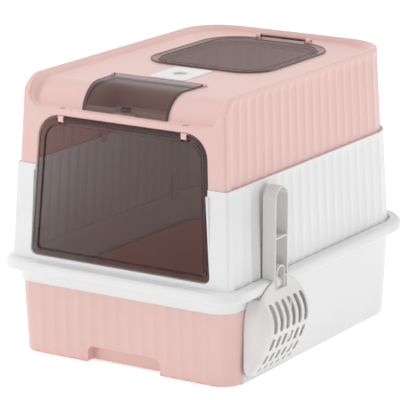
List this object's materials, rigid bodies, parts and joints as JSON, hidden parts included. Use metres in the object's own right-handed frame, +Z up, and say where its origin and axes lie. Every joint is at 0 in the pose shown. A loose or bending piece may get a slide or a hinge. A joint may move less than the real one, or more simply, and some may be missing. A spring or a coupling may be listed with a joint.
{
  "type": "drawer litter box",
  "caption": "Enclosed cat litter box with a pull-out drawer, fluted tapering housing and hood, smoky swing door, roof hatch with slide latch, filter lid and a scoop hung on the rim.",
  "frame": {"origin": "on the floor, in the middle of the tub's width and depth", "axes": "+X to the box's right as one faces its back, +Y from the door to the back, +Z up"},
  "size_m": [0.3632, 0.486, 0.3617],
  "materials": {
    "white_plastic": "satin",
    "pink_plastic": "satin",
    "smoky_plastic": "gloss, see-through",
    "grey_plastic": "satin",
    "pin_plastic": "matte"
  },
  "bodies": {
    "base": {"base_tub": "white_plastic"},
    "drawer_body": {"drawer": "pink_plastic"},
    "upper": {"housing": "white_plastic", "side_clip_fr": "grey_plastic", "side_clip_fl": "grey_plastic", "side_clip_rr": "grey_plastic", "side_clip_rl": "grey_plastic", "hood": "pink_plastic", "hood_clip_fr": "pink_plastic", "hood_clip_fl": "pink_plastic", "hood_clip_rr": "pink_plastic", "hood_clip_rl": "pink_plastic", "hatch_ears": "pink_plastic", "lid_ears": "pink_plastic", "well_floor": "pink_plastic", "door_clip_right": "pink_plastic", "door_clip_left": "pink_plastic", "hatch_pin": "pin_plastic"},
    "door": {"front_door": "smoky_plastic"},
    "hatch": {"roof_hatch": "smoky_plastic"},
    "latch": {"hatch_latch": "white_plastic"},
    "lid": {"deodoriser_lid": "smoky_plastic"},
    "scoop_body": {"scoop": "grey_plastic"}
  },
  "joints": [
    {"name": "drawer_slide", "type": "slide", "parent": "base", "child": "drawer_body", "axis": [0, -1, 0], "range_m": [0, 0.32]},
    {"name": "upper_lift", "type": "slide", "parent": "base", "child": "upper", "axis": [0, 0, 1], "range_m": [0, 0.16]},
    {"name": "door_swing", "type": "hinge", "parent": "upper", "child": "door", "pos_m": [0, -0.21433, 0.3111], "axis": [1, 0, 0], "range_deg": [-85, 75]},
    {"name": "hatch_swing", "type": "hinge", "parent": "upper", "child": "hatch", "pos_m": [0, 0.179, 0.3583], "axis": [-1, 0, 0], "range_deg": [0, 105]},
    {"name": "latch_slide", "type": "slide", "parent": "upper", "child": "latch", "axis": [0, 1, 0], "range_m": [0, 0.005]},
    {"name": "lid_swing", "type": "hinge", "parent": "upper", "child": "lid", "pos_m": [0, -0.1317, 0.3565], "axis": [-1, 0, 0], "range_deg": [0, 100]},
    {"name": "scoop_pull", "type": "slide", "parent": "base", "child": "scoop_body", "axis": [1, 0, 0], "range_m": [0, 0.06]}
  ]
}
